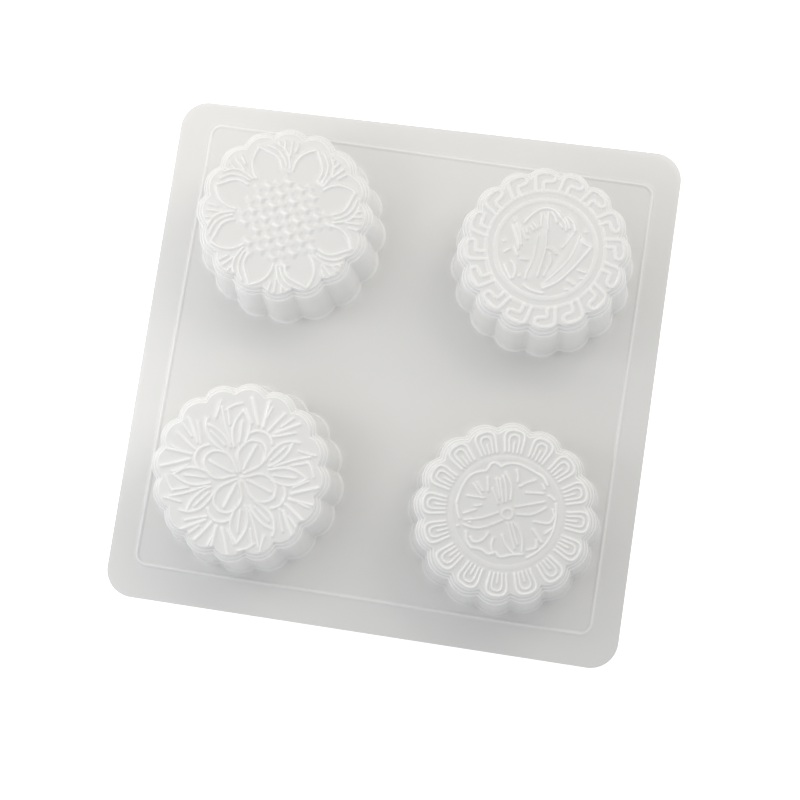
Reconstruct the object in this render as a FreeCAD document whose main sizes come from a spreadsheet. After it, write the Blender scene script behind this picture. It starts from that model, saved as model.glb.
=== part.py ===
import FreeCAD, Part
import math
import os

import Sketcher
from FreeCAD import Placement, Rotation, Vector

# Four-cup moulding tray for mooncakes and jellies, formed from one thin plastic sheet.
# It stands on the underside of its flat border, crowns up, with the cups open at the bottom.
# The sheet is one piece; each node here is one region of it, and the regions meet face to face.

SIZES = {
    # the sheet and how it is trimmed: a slightly skewed rectangle with round corners
    "sheet_thickness": 0.8,
    "trim_width": 204.6,
    "trim_depth": 207.6,
    "trim_corner": 11.0,
    "left_lean": 2.6,
    "right_lean": 1.1,
    "front_rise": 1.1,
    "back_fall": 5.5,
    # the raised bead that frames the deck
    "bead_side": 180.0,
    "bead_corner": 4.6,
    "bead_width": 2.0,
    "bead_rise": 0.8,
    "bead_shift_x": 0.8,
    "bead_shift_y": -0.3,
    # the four cups, on a square pitch
    "cup_pitch": 101.2,
    "cup_shift_x": 0.0,
    "cup_shift_y": 0.2,
    "cup_height": 30.8,
    "lobe_count": 16,
    "sunflower_base": 36.9,
    "sunflower_rim": 34.2,
    "key_fret_base": 35.4,
    "key_fret_rim": 33.2,
    "blossom_base": 36.6,
    "blossom_rim": 34.2,
    "petal_ring_base": 37.0,
    "petal_ring_rim": 34.4,
    "lobe_depth": 2.4,
    "notch_wall": 1.2,
    "foot_flare": 1.0,
    "foot_rise": 1.4,
    # the small steps between wall and crown
    "step_count": 2,
    "step_tread": 1.2,
    "step_drop": 1.2,
    # how far each cup's pattern is turned, in degrees
    "sunflower_turn": 5.1,
    "key_fret_turn": 8.0,
    "blossom_turn": 1.7,
    "petal_ring_turn": 1.5,
    # the relief on the crowns
    "relief_rise": 0.9,
    "line_width": 1.0,
    "band_inner": 22.0,
    "band_outer": 30.6,
    "ring_radius": 21.0,
    "key_ring_radius": 19.3,
    "ring_gap": 2.6,
    "hub_radius": 1.9,
    "stroke_width": 1.3,
    # petal ring: arched petals in the lobes, four pods and small strokes inside the ring
    "petal_width": 7.0,
    "vein_length": 4.5,
    "pod_inner": 3.6,
    "pod_outer": 16.8,
    "pod_width": 5.0,
    "pod_turn": 17.0,
    "gap_stroke_foot": 9.0,
    "gap_stroke_tip": 15.2,
    # key fret: one square-spiral key in each lobe
    "key_inner": 23.0,
    "key_outer": 29.3,
    # sunflower: round petals, short strokes in the gaps and a square lattice of seeds
    "round_petal_count": 8,
    "round_petal_radius": 6.2,
    "round_petal_place": 22.0,
    "gap_stroke_spread": 5.0,
    "gap_stroke_inner": 24.6,
    "seed_pitch": 5.65,
    "seed_radius": 1.5,
    "seed_field": 21.0,
    "seed_turn": -29.6,
    # blossom: pointed petals about the hub, a fan behind each and a leaf in each gap
    "fan_count": 4,
    "fan_turn": 69.3,
    "fan_blades": 7,
    "fan_inner": 20.6,
    "fan_outer": 29.8,
    "fan_foot_spread": 22.0,
    "fan_tip_spread": 48.0,
    "fan_arc_radius": 17.4,
    "fan_arc_span": 28.0,
    "leaf_inner": 3.4,
    "leaf_outer": 15.6,
    "leaf_width": 7.0,
    "gap_leaf_inner": 8.0,
    "gap_leaf_outer": 19.8,
}

CUPS = {
    # name: which side of the tray's middle the cup stands on, along X and along Y
    "sunflower": (-1, 1),
    "key_fret": (1, 1),
    "blossom": (-1, -1),
    "petal_ring": (1, -1),
}

doc = FreeCAD.newDocument("mooncake_mould_tray")
sizes = doc.addObject("Spreadsheet::Sheet", "Sizes")
for row, (alias, value) in enumerate(SIZES.items(), start=1):
    sizes.set("A%d" % row, alias)
    sizes.set("B%d" % row, str(value))
    sizes.setAlias("B%d" % row, alias)
doc.recompute()

# The spray inside the key fret's rings, in millimetres from the crown's middle, before the cup's turn:
# where each leaf or stroke starts, where it ends and how far it bows to its left.
SPRAY_LEAVES = (
    ((-13.4, 11.4), (-9.6, 0.8), -0.6),
    ((-14.6, -2.6), (-5.6, -5.6), 1.2),
    ((-6.4, -14.4), (12.4, -3.6), -2.6),
    ((-5.4, -9.4), (13.6, 2.4), -2.8),
    ((6.6, -14.6), (12.8, -10.4), 0.9),
)
SPRAY_STROKES = (
    ((-3.4, 8.4), (-3.0, 15.2), 0.3),
    ((-0.6, 8.2), (-0.4, 15.8), -0.3),
    ((1.8, 7.8), (4.8, 15.0), 0.9),
    ((4.2, 7.2), (8.4, 13.4), 0.9),
    ((6.4, 6.2), (11.4, 11.0), 0.9),
    ((-9.4, 5.6), (-6.6, 9.8), 0.5),
    ((-7.0, 4.6), (-4.6, 7.6), 0.4),
    ((10.6, 4.6), (16.0, 4.8), 0.3),
    ((-13.0, -9.4), (-8.0, -8.0), 0.5),
)

ORIGIN = -1     # in a sketch's constraints, the number of its X axis, which starts at its origin
START = 1       # the numbers of a curve's start, end and centre
END = 2
CENTRE = 3


def size(alias):
    return float(sizes.get(alias))


def new_body(label):
    body = doc.addObject("PartDesign::Body", label)
    body.Label = label
    return body


def new_sketch(body, name, level="0"):
    """An empty sketch on the body's XY plane, lifted to the given level."""
    plane = [feature for feature in body.Origin.OriginFeatures if feature.Role == "XY_Plane"][0]
    sketch = body.newObject("Sketcher::SketchObject", name)
    sketch.AttachmentSupport = [(plane, "")]
    sketch.MapMode = "FlatFace"
    sketch.setExpression("AttachmentOffset.Base.z", level)
    return sketch


def named(sketch, constraint, name, expression):
    """Adds a constraint and binds it to the sheet."""
    index = sketch.addConstraint(constraint)
    sketch.renameConstraint(index, name)
    sketch.setExpression("Constraints." + name, expression)


def value_of(expression):
    """The value of a sum of sheet aliases, such as 'Sizes.a - Sizes.b', for a first guess."""
    return float(sizes.evalExpression(expression))


def end_nearest(sketch, arc, point):
    """Tells which end of an arc lies at the point."""
    near_start = sketch.Geometry[arc].StartPoint.distanceToPoint(point)
    near_end = sketch.Geometry[arc].EndPoint.distanceToPoint(point)
    return START if near_start < near_end else END


def scallop(sketch, peak, hollow=False):
    """A closed ring of equal round lobes, whose outermost points lie at the peak radius.

    A hollow outline is the inner face of the sheet, one wall further in than the peak given.
    """
    notch = peak + " - Sizes.lobe_depth"
    if hollow:
        notch += " - Sizes.notch_wall"
        peak += " - Sizes.sheet_thickness"
    count = int(size("lobe_count"))
    peak_radius = value_of(peak)
    notch_radius = value_of(notch)
    half_lobe = math.pi / count
    mouth = notch_radius * math.cos(half_lobe)
    half_chord = notch_radius * math.sin(half_lobe)
    rise = peak_radius - mouth
    lobe_radius = (half_chord ** 2 + rise ** 2) / (2 * rise)
    centre_radius = peak_radius - lobe_radius

    def at(radius, angle):
        return Vector(radius * math.cos(angle), radius * math.sin(angle), 0)

    arcs = []
    for lobe in range(count):
        middle = 2 * half_lobe * lobe
        first = at(notch_radius, middle - half_lobe)
        top = at(peak_radius, middle)
        last = at(notch_radius, middle + half_lobe)
        arcs.append(sketch.addGeometry(Part.Arc(first, top, last)))
    up = Vector(0, 0, 1)
    centre_ring = sketch.addGeometry(Part.Circle(Vector(0, 0, 0), up, abs(centre_radius)), True)
    notch_ring = sketch.addGeometry(Part.Circle(Vector(0, 0, 0), up, notch_radius), True)
    top_mark = sketch.addGeometry(Part.Point(at(peak_radius, 0)), True)

    make = Sketcher.Constraint
    for ring in (centre_ring, notch_ring):
        sketch.addConstraint(make("Coincident", ring, CENTRE, ORIGIN, START))
    for lobe, arc in enumerate(arcs):
        joint = at(notch_radius, 2 * half_lobe * lobe + half_lobe)
        following = arcs[(lobe + 1) % count]
        this_end = end_nearest(sketch, arc, joint)
        next_end = end_nearest(sketch, following, joint)
        sketch.addConstraint(make("Coincident", arc, this_end, following, next_end))
        sketch.addConstraint(make("PointOnObject", arc, this_end, notch_ring))
        sketch.addConstraint(make("PointOnObject", arc, CENTRE, centre_ring))
        if lobe > 0:
            sketch.addConstraint(make("Equal", arcs[0], arc))
    sketch.addConstraint(make("PointOnObject", arcs[0], CENTRE, ORIGIN))
    sketch.addConstraint(make("PointOnObject", top_mark, START, ORIGIN))
    sketch.addConstraint(make("PointOnObject", top_mark, START, arcs[0]))
    named(sketch, make("Radius", notch_ring, notch_radius), "notch", notch)
    named(sketch, make("DistanceX", ORIGIN, START, top_mark, START, peak_radius), "peak", peak)


def round_corners(corners, radius):
    """Lines and tangent arcs round a polygon, each corner rounded by the radius."""
    lines = []
    arcs = []
    points = []
    for index, corner in enumerate(corners):
        before = (corners[index - 1] - corner).normalize()
        after = (corners[(index + 1) % len(corners)] - corner).normalize()
        half_angle = before.getAngle(after) / 2
        reach = radius / math.tan(half_angle)
        middle = (before + after).normalize()
        crest = corner + middle * (radius / math.sin(half_angle) - radius)
        points.append((corner + before * reach, crest, corner + after * reach))
    for index, (arrive, crest, leave) in enumerate(points):
        arcs.append(Part.Arc(arrive, crest, leave))
        lines.append(Part.LineSegment(leave, points[(index + 1) % len(points)][0]))
    return lines, arcs


def rounded_outline(sketch, corners, radius_value, names):
    """Draws a rounded four-sided outline whose virtual corners are held at bound distances.

    corners: four (x, y) pairs of expressions; names: a prefix for the constraints.
    """
    make = Sketcher.Constraint
    points = [Vector(value_of(x), value_of(y), 0) for x, y in corners]
    radius = value_of(radius_value)
    lines, arcs = round_corners(points, radius)
    line_ids = [sketch.addGeometry(line) for line in lines]
    arc_ids = [sketch.addGeometry(arc) for arc in arcs]
    for index in range(4):
        arc = arc_ids[index]
        line_before = line_ids[index - 1]
        line_after = line_ids[index]
        arrive = sketch.Geometry[line_before].EndPoint
        leave = sketch.Geometry[line_after].StartPoint
        sketch.addConstraint(make("Tangent", line_before, END, arc, end_nearest(sketch, arc, arrive)))
        sketch.addConstraint(make("Tangent", line_after, START, arc, end_nearest(sketch, arc, leave)))
        mark = sketch.addGeometry(Part.Point(points[index]), True)
        sketch.addConstraint(make("PointOnObject", mark, START, line_before))
        sketch.addConstraint(make("PointOnObject", mark, START, line_after))
        x, y = corners[index]
        label = "%s_%d" % (names, index)
        named(sketch, make("DistanceX", ORIGIN, START, mark, START, points[index].x), label + "_x", x)
        named(sketch, make("DistanceY", ORIGIN, START, mark, START, points[index].y), label + "_y", y)
        if index > 0:
            sketch.addConstraint(make("Equal", arc_ids[0], arc))
    named(sketch, make("Radius", arc_ids[0], radius), names + "_corner", radius_value)


def trim_outline(sketch):
    """The cut edge of the sheet; its four corners touch one upright rectangle."""
    half_width = "Sizes.trim_width / 2"
    half_depth = "Sizes.trim_depth / 2"
    corners = [
        ("-%s + Sizes.left_lean" % half_width, "-%s" % half_depth),
        (half_width, "-%s + Sizes.front_rise" % half_depth),
        ("%s - Sizes.right_lean" % half_width, half_depth),
        ("-%s" % half_width, "%s - Sizes.back_fall" % half_depth),
    ]
    rounded_outline(sketch, corners, "Sizes.trim_corner", "trim")


def bead_outline(sketch, half_side, corner, names):
    """A rounded square about the bead's middle."""
    corners = [
        ("Sizes.bead_shift_x %s (%s)" % (x, half_side), "Sizes.bead_shift_y %s (%s)" % (y, half_side))
        for x, y in (("-", "-"), ("+", "-"), ("+", "+"), ("-", "+"))
    ]
    rounded_outline(sketch, corners, corner, names)


def pad(body, sketch, length):
    feature = body.newObject("PartDesign::Pad", sketch.Label + "_pad")
    feature.Profile = sketch
    feature.setExpression("Length", length)
    body.Tip = feature
    return feature


def pocket_upward(body, sketch, depth):
    """Cuts up from the sketch, into the solid above it, and checks that it cut."""
    doc.recompute()
    before = body.Shape.Volume
    feature = body.newObject("PartDesign::Pocket", sketch.Label + "_pocket")
    feature.Profile = sketch
    feature.Reversed = True
    feature.setExpression("Length", depth)
    body.Tip = feature
    doc.recompute()
    if body.Shape.Volume >= before:
        raise RuntimeError(feature.Label + " cut nothing")
    return feature


def loft(body, kind, name, sketches):
    feature = body.newObject("PartDesign::" + kind, name)
    feature.Profile = sketches[0]
    feature.Sections = sketches[1:]
    feature.Ruled = True
    body.Tip = feature
    return feature


def polar(body, feature, sketch, count):
    """Repeats a feature round the upright axis of its sketch."""
    pattern = body.newObject("PartDesign::PolarPattern", feature.Label + "_ring")
    pattern.Originals = [feature]
    pattern.Axis = (sketch, ["N_Axis"])
    pattern.Angle = 360
    pattern.setExpression("Occurrences", count)
    body.Tip = pattern
    return pattern


# Radii and levels that several regions share, as expressions over the sheet.
RIM_LEVEL = "Sizes.cup_height - Sizes.step_count * Sizes.step_drop - Sizes.sheet_thickness"
BEAD_OUT = "Sizes.bead_side / 2 + Sizes.bead_width / 2"
BEAD_IN = "Sizes.bead_side / 2 - Sizes.bead_width / 2"
BEAD_OUT_CORNER = "Sizes.bead_corner + Sizes.bead_width / 2"
BEAD_IN_CORNER = "Sizes.bead_corner - Sizes.bead_width / 2"


def foot_peak(cup):
    return "Sizes.%s_base + Sizes.foot_flare" % cup


def base_peak(cup):
    return "Sizes.%s_base" % cup


def rim_peak(cup):
    return "Sizes.%s_rim" % cup


def cup_place(cup):
    """Expressions for the cup's middle and turn."""
    side_x, side_y = CUPS[cup]
    return (
        "Sizes.bead_shift_x + Sizes.cup_shift_x + %d * Sizes.cup_pitch / 2" % side_x,
        "Sizes.bead_shift_y + Sizes.cup_shift_y + %d * Sizes.cup_pitch / 2" % side_y,
        "Sizes.%s_turn" % cup,
    )


def stand_at_cup(body, cup):
    x, y, turn = cup_place(cup)
    body.Placement = Placement(
        Vector(value_of(x), value_of(y), 0), Rotation(Vector(0, 0, 1), value_of(turn))
    )
    body.setExpression("Placement.Base.x", x)
    body.setExpression("Placement.Base.y", y)
    body.setExpression("Placement.Rotation.Angle", turn)


def make_flange():
    """The flat border outside the bead."""
    body = new_body("rim_flange")
    sketch = new_sketch(body, "flange_outline")
    trim_outline(sketch)
    bead_outline(sketch, BEAD_OUT, BEAD_OUT_CORNER, "hole")
    pad(body, sketch, "Sizes.sheet_thickness")
    return body


def make_bead():
    """The raised line: a rounded ridge with a narrow channel beneath it."""
    body = new_body("border_bead")
    ridge = new_sketch(body, "bead_ridge")
    bead_outline(ridge, BEAD_OUT, BEAD_OUT_CORNER, "outside")
    bead_outline(ridge, BEAD_IN, BEAD_IN_CORNER, "inside")
    square_ridge = pad(body, ridge, "Sizes.sheet_thickness + Sizes.bead_rise")
    doc.recompute()
    crest_level = size("sheet_thickness") + size("bead_rise")
    crest_edges = [
        "Edge%d" % number
        for number, edge in enumerate(square_ridge.Shape.Edges, start=1)
        if min(vertex.Z for vertex in edge.Vertexes) > crest_level - 0.001
    ]
    crest_round = body.newObject("PartDesign::Fillet", "bead_round")
    crest_round.Base = (square_ridge, crest_edges)
    crest_round.setExpression("Radius", "min(0.45 * Sizes.bead_width; 0.9 * Sizes.bead_rise)")
    body.Tip = crest_round
    channel = new_sketch(body, "bead_channel")
    bead_outline(channel, BEAD_OUT + " - Sizes.sheet_thickness", BEAD_OUT_CORNER + " - Sizes.sheet_thickness",
                 "outside")
    bead_outline(channel, BEAD_IN + " + Sizes.sheet_thickness", BEAD_IN_CORNER + " + Sizes.sheet_thickness",
                 "inside")
    pocket_upward(body, channel, "Sizes.bead_rise")
    return body


def make_deck():
    """The flat panel inside the bead, with a scalloped hole for each cup."""
    body = new_body("deck_panel")
    sketch = new_sketch(body, "deck_outline")
    bead_outline(sketch, BEAD_IN, BEAD_IN_CORNER, "edge")
    pad(body, sketch, "Sizes.sheet_thickness")
    for cup in CUPS:
        x, y, turn = cup_place(cup)
        hole = new_sketch(body, cup + "_hole")
        hole.AttachmentOffset = Placement(
            Vector(value_of(x), value_of(y), 0), Rotation(Vector(0, 0, 1), value_of(turn))
        )
        hole.setExpression("AttachmentOffset.Base.x", x)
        hole.setExpression("AttachmentOffset.Base.y", y)
        hole.setExpression("AttachmentOffset.Rotation.Angle", turn)
        scallop(hole, foot_peak(cup))
        pocket_upward(body, hole, "Sizes.sheet_thickness")
    return body


def make_wall(cup):
    """The drafted, scalloped side of a cup, with its flared foot."""
    body = new_body(cup + "_wall")
    land = new_sketch(body, cup + "_land")
    scallop(land, foot_peak(cup))
    pad(body, land, "Sizes.sheet_thickness")
    foot_level = "Sizes.sheet_thickness + Sizes.foot_rise"
    outside = (
        ("foot", "Sizes.sheet_thickness", foot_peak(cup)),
        ("base", foot_level, base_peak(cup)),
        ("rim", RIM_LEVEL, rim_peak(cup)),
    )
    inside = (
        ("mouth", "0", foot_peak(cup)),
        ("throat", "Sizes.foot_rise", base_peak(cup)),
        ("top", RIM_LEVEL, rim_peak(cup)),
    )
    for kind, outlines, hollow in (("AdditiveLoft", outside, False), ("SubtractiveLoft", inside, True)):
        sketches = []
        for name, level, peak in outlines:
            sketch = new_sketch(body, "%s_%s" % (cup, name), level)
            scallop(sketch, peak, hollow)
            sketches.append(sketch)
        loft(body, kind, "%s_%s" % (cup, kind), sketches)
    stand_at_cup(body, cup)
    return body


def make_shoulder(cup):
    """The small steps that lead from the wall in to the crown, hollow like the rest of the sheet."""
    body = new_body(cup + "_shoulder")
    steps = int(size("step_count"))
    for step in range(steps + 1):
        height = "%d * Sizes.step_drop" % step
        if step < steps:
            height += " + Sizes.sheet_thickness"
        sketch = new_sketch(body, "%s_step_%d" % (cup, step), RIM_LEVEL)
        scallop(sketch, "%s - %d * Sizes.step_tread" % (rim_peak(cup), step))
        pad(body, sketch, height)
    for step in range(1, steps + 1):
        sketch = new_sketch(body, "%s_hollow_%d" % (cup, step), RIM_LEVEL)
        scallop(sketch, "%s - %d * Sizes.step_tread" % (rim_peak(cup), step), hollow=True)
        pocket_upward(body, sketch, "%d * Sizes.step_drop" % step)
    stand_at_cup(body, cup)
    return body


def circle(sketch, radius, x="0", y="0", name="circle"):
    """A bound circle whose middle stands at (x, y)."""
    make = Sketcher.Constraint
    middle = Vector(value_of(x), value_of(y), 0)
    index = sketch.addGeometry(Part.Circle(middle, Vector(0, 0, 1), value_of(radius)))
    named(sketch, make("Radius", index, value_of(radius)), name + "_radius", radius)
    if x == "0" and y == "0":
        sketch.addConstraint(make("Coincident", index, CENTRE, ORIGIN, START))
        return
    named(sketch, make("DistanceX", ORIGIN, START, index, CENTRE, middle.x), name + "_x", x)
    if y == "0":
        sketch.addConstraint(make("PointOnObject", index, CENTRE, ORIGIN))
        return
    named(sketch, make("DistanceY", ORIGIN, START, index, CENTRE, middle.y), name + "_y", y)


def blocked(sketch, edges):
    """Adds a closed chain of edges, joined end to end and held where it is."""
    ids = [sketch.addGeometry(edge) for edge in edges]
    for index in ids:
        sketch.addConstraint(Sketcher.Constraint("Block", index))


def closed_lines(points):
    return [Part.LineSegment(points[i - 1], points[i]) for i in range(len(points))]


def spot(radius, degrees):
    """The point at this radius and angle about the crown's middle."""
    angle = math.radians(degrees)
    return Vector(radius * math.cos(angle), radius * math.sin(angle), 0)


def relief_sketch(body, name):
    return new_sketch(body, name, "Sizes.cup_height")


def raise_relief(body, sketch):
    return pad(body, sketch, "Sizes.relief_rise")


def ring_ridge(body, name, radius):
    """A round ridge, one line wide, about the crown's middle."""
    sketch = relief_sketch(body, name)
    circle(sketch, "%s + Sizes.line_width / 2" % radius, name="outside")
    circle(sketch, "%s - Sizes.line_width / 2" % radius, name="inside")
    return raise_relief(body, sketch)


def blade(start, end, width, bow=0.0):
    """A stroke pointed at both ends, as two arcs; it may bow to its left."""
    along = end - start
    across = Vector(-along.y, along.x, 0).normalize()
    middle = (start + end) / 2
    left = middle + across * (bow + width / 2)
    right = middle + across * (bow - width / 2)
    return [Part.Arc(start, left, end), Part.Arc(end, right, start)]


def leaf_ridge(sketch, start, end, width, bow=0.0):
    """The outline of a pointed leaf, drawn as a raised line with a hollow middle."""
    line = size("line_width")
    inset = (end - start).normalize() * (2 * line)
    blocked(sketch, blade(start, end, width, bow))
    blocked(sketch, blade(start + inset, end - inset, width - 2 * line, bow))


def arc_ridge(sketch, radius, width, middle, span):
    """A piece of a round ridge about the crown's middle."""
    half_span = span / 2
    outer = radius + width / 2
    inner = radius - width / 2
    first = middle - half_span
    last = middle + half_span
    blocked(sketch, [
        Part.Arc(spot(outer, first), spot(outer, middle), spot(outer, last)),
        Part.LineSegment(spot(outer, last), spot(inner, last)),
        Part.Arc(spot(inner, last), spot(inner, middle), spot(inner, first)),
        Part.LineSegment(spot(inner, first), spot(outer, first)),
    ])


def petal_ring_relief(body):
    """Sixteen arched petals with a vein each, round a double ring that holds a cross of four pods."""
    line = size("line_width")
    half = size("petal_width") / 2
    foot = size("band_inner")
    crest = size("band_outer")
    petal = relief_sketch(body, "arched_petal")
    knee = crest - half
    outer_arch = Part.Arc(Vector(knee, half, 0), Vector(crest, 0, 0), Vector(knee, -half, 0))
    inner_half = half - line
    inner_arch = Part.Arc(
        Vector(knee, -inner_half, 0), Vector(knee + inner_half, 0, 0), Vector(knee, inner_half, 0)
    )
    blocked(petal, [
        Part.LineSegment(Vector(foot, half, 0), Vector(knee, half, 0)),
        outer_arch,
        Part.LineSegment(Vector(knee, -half, 0), Vector(foot, -half, 0)),
        Part.LineSegment(Vector(foot, -half, 0), Vector(foot, -inner_half, 0)),
        Part.LineSegment(Vector(foot, -inner_half, 0), Vector(knee, -inner_half, 0)),
        inner_arch,
        Part.LineSegment(Vector(knee, inner_half, 0), Vector(foot, inner_half, 0)),
        Part.LineSegment(Vector(foot, inner_half, 0), Vector(foot, half, 0)),
    ])
    vein_start = foot + line
    blocked(petal, blade(spot(vein_start, 0), spot(vein_start + size("vein_length"), 0), line))
    polar(body, raise_relief(body, petal), petal, "Sizes.lobe_count")
    ring_ridge(body, "petal_ring_line", "Sizes.ring_radius")
    ring_ridge(body, "pod_ring_line", "Sizes.ring_radius - Sizes.ring_gap")
    ring_ridge(body, "petal_ring_hub", "Sizes.hub_radius")
    pods = relief_sketch(body, "pods")
    inner = size("pod_inner")
    outer = size("pod_outer")
    for quarter in range(4):
        middle = size("pod_turn") + 90 * quarter
        leaf_ridge(pods, spot(inner, middle), spot(outer, middle), size("pod_width"))
        for share in (0.35, 0.5, 0.65):
            gap = middle + 90 * share
            foot_spot = spot(size("gap_stroke_foot"), gap)
            tip_spot = spot(size("gap_stroke_tip"), gap)
            blocked(pods, blade(foot_spot, tip_spot, size("stroke_width")))
    raise_relief(body, pods)


def key_fret_relief(body):
    """Sixteen square-spiral keys round a ring, with a spray of leaves inside."""
    line = size("line_width")
    half = size("petal_width") / 2
    foot = size("key_inner")
    crest = size("key_outer")
    step = 2 * line
    key = relief_sketch(body, "fret_key")
    blocked(key, closed_lines([
        Vector(foot, -half, 0),
        Vector(crest, -half, 0),
        Vector(crest, half, 0),
        Vector(foot, half, 0),
        Vector(foot, step - half, 0),
        Vector(crest - step, step - half, 0),
        Vector(crest - step, line / 2, 0),
        Vector(crest - step - line, line / 2, 0),
        Vector(crest - step - line, step - half + line, 0),
        Vector(foot + line, step - half + line, 0),
        Vector(foot + line, half - line, 0),
        Vector(crest - line, half - line, 0),
        Vector(crest - line, line - half, 0),
        Vector(foot, line - half, 0),
    ]))
    polar(body, raise_relief(body, key), key, "Sizes.lobe_count")
    ring_ridge(body, "key_ring_line", "Sizes.key_ring_radius")
    upright = Rotation(Vector(0, 0, 1), -size("key_fret_turn"))
    leaves = relief_sketch(body, "spray_leaves")
    for start, end, bow in SPRAY_LEAVES:
        leaf_ridge(leaves, upright.multVec(Vector(*start, 0)), upright.multVec(Vector(*end, 0)),
                   3 * line, bow)
    raise_relief(body, leaves)
    strokes = relief_sketch(body, "spray_strokes")
    for start, end, bow in SPRAY_STROKES:
        blocked(strokes, blade(upright.multVec(Vector(*start, 0)), upright.multVec(Vector(*end, 0)),
                               size("stroke_width"), bow))
    raise_relief(body, strokes)


def blossom_relief(body):
    """Four pointed petals about a hub, a fan of blades behind each, and a leaf in each gap."""
    line = size("line_width")
    stroke = size("stroke_width")
    fans = int(size("fan_count"))
    blades = int(size("fan_blades"))
    ring_ridge(body, "blossom_hub", "Sizes.hub_radius")
    petals = relief_sketch(body, "pointed_petals")
    fan_lines = relief_sketch(body, "fan_lines")
    for fan in range(fans):
        middle = size("fan_turn") + 360 / fans * fan
        gap = middle + 180 / fans
        leaf_ridge(petals, spot(size("leaf_inner"), middle), spot(size("leaf_outer"), middle),
                   size("leaf_width"))
        leaf_ridge(petals, spot(size("gap_leaf_inner"), gap), spot(size("gap_leaf_outer"), gap),
                   size("pod_width"))
        arc_ridge(fan_lines, size("fan_arc_radius"), line, middle, size("fan_arc_span"))
        arc_ridge(fan_lines, size("fan_arc_radius") + 2 * line, line, middle, size("fan_arc_span"))
        for step in range(blades):
            share = step / (blades - 1) - 0.5
            foot = spot(size("fan_inner"), middle + share * size("fan_foot_spread"))
            tip = spot(size("fan_outer"), middle + share * size("fan_tip_spread"))
            blocked(fan_lines, blade(foot, tip, stroke))
        blocked(fan_lines, blade(spot(size("fan_inner"), gap), spot(size("fan_outer"), gap), stroke))
    raise_relief(body, petals)
    raise_relief(body, fan_lines)


def sunflower_relief(body):
    """A lattice of small seeds, ringed by round petals with short strokes in the gaps."""
    count = int(size("round_petal_count"))
    half_step = 180 / count
    petal = relief_sketch(body, "round_petal")
    place_x = "Sizes.round_petal_place * cos(180 deg / Sizes.round_petal_count)"
    place_y = "Sizes.round_petal_place * sin(180 deg / Sizes.round_petal_count)"
    circle(petal, "Sizes.round_petal_radius", place_x, place_y, "outside")
    circle(petal, "Sizes.round_petal_radius - Sizes.line_width", place_x, place_y, "inside")
    for side in (-1, 0, 1):
        degrees = side * size("gap_stroke_spread")
        inner = size("gap_stroke_inner")
        blocked(petal, blade(spot(inner, degrees), spot(size("band_outer"), degrees), size("stroke_width")))
    polar(body, raise_relief(body, petal), petal, "Sizes.round_petal_count")

    middles = [spot(size("round_petal_place"), half_step * (2 * petal_no + 1)) for petal_no in range(count)]
    clearance = size("round_petal_radius") + size("seed_radius")
    lattice = Rotation(Vector(0, 0, 1), size("seed_turn"))
    seeds = relief_sketch(body, "seeds")
    pitch = size("seed_pitch")
    reach = int(size("seed_field") / pitch) + 1
    for column in range(-reach, reach + 1):
        for row in range(-reach, reach + 1):
            seed = lattice.multVec(Vector(column * pitch, row * pitch, 0))
            nearest = min(seed.distanceToPoint(middle) for middle in middles)
            if seed.Length <= size("seed_field") and nearest > clearance:
                blocked(seeds, [Part.Circle(seed, Vector(0, 0, 1), size("seed_radius"))])
    raise_relief(body, seeds)


RELIEFS = {
    "sunflower": sunflower_relief,
    "key_fret": key_fret_relief,
    "blossom": blossom_relief,
    "petal_ring": petal_ring_relief,
}


def make_crown(cup):
    """The top of a cup: a scalloped plate that carries the relief."""
    body = new_body(cup + "_crown")
    plate = new_sketch(body, cup + "_plate", "Sizes.cup_height - Sizes.sheet_thickness")
    scallop(plate, rim_peak(cup) + " - Sizes.step_count * Sizes.step_tread")
    pad(body, plate, "Sizes.sheet_thickness")
    doc.recompute()
    RELIEFS[cup](body)
    stand_at_cup(body, cup)
    return body


def check(objects):
    for item in objects:
        if "Invalid" in item.State or "Error" in item.State:
            raise RuntimeError("%s failed: %s" % (item.Label, item.State))


nodes = [make_flange(), make_bead(), make_deck()]
for cup_name in CUPS:
    nodes.append(make_wall(cup_name))
    nodes.append(make_shoulder(cup_name))
    nodes.append(make_crown(cup_name))
doc.recompute()
check(doc.Objects)

os.makedirs("parts", exist_ok=True)
for node in nodes:
    shape = node.Shape
    if shape.isNull() or not shape.isValid():
        raise RuntimeError(node.Label + " has no valid shape")
for node in nodes:
    node.Shape.exportStep("parts/%s.step" % node.Label)
    print("%-22s %2d solid(s) %9.1f mm3" % (node.Label, len(node.Shape.Solids), node.Shape.Volume))
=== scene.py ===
from collections import namedtuple
import math

import bpy
import numpy as np
from mathutils import Euler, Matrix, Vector


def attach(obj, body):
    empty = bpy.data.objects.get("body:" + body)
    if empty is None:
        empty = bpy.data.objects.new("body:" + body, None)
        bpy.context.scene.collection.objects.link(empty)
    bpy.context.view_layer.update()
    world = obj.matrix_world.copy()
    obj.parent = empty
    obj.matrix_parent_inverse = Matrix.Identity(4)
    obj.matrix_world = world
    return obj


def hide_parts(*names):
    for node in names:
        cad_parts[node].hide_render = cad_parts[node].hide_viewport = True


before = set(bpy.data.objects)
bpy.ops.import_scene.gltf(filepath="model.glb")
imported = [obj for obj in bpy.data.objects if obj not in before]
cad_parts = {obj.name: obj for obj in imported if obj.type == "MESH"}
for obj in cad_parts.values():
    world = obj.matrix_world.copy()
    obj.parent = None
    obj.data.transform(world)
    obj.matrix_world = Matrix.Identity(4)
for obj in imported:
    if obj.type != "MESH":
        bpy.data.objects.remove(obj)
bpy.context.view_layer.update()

# Four-cup mooncake mould tray, formed from one thin sheet of translucent milky plastic.
# It stands on the underside of its flat border, crowns up. The sheet's lengths are in millimetres
# and its turns in degrees; the meshes are scaled to metres when they are written. The camera and
# the lamps are in metres.
MM = 0.001

# ---------------------------------------------------------------- sizes

SHEET = 0.8

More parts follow.
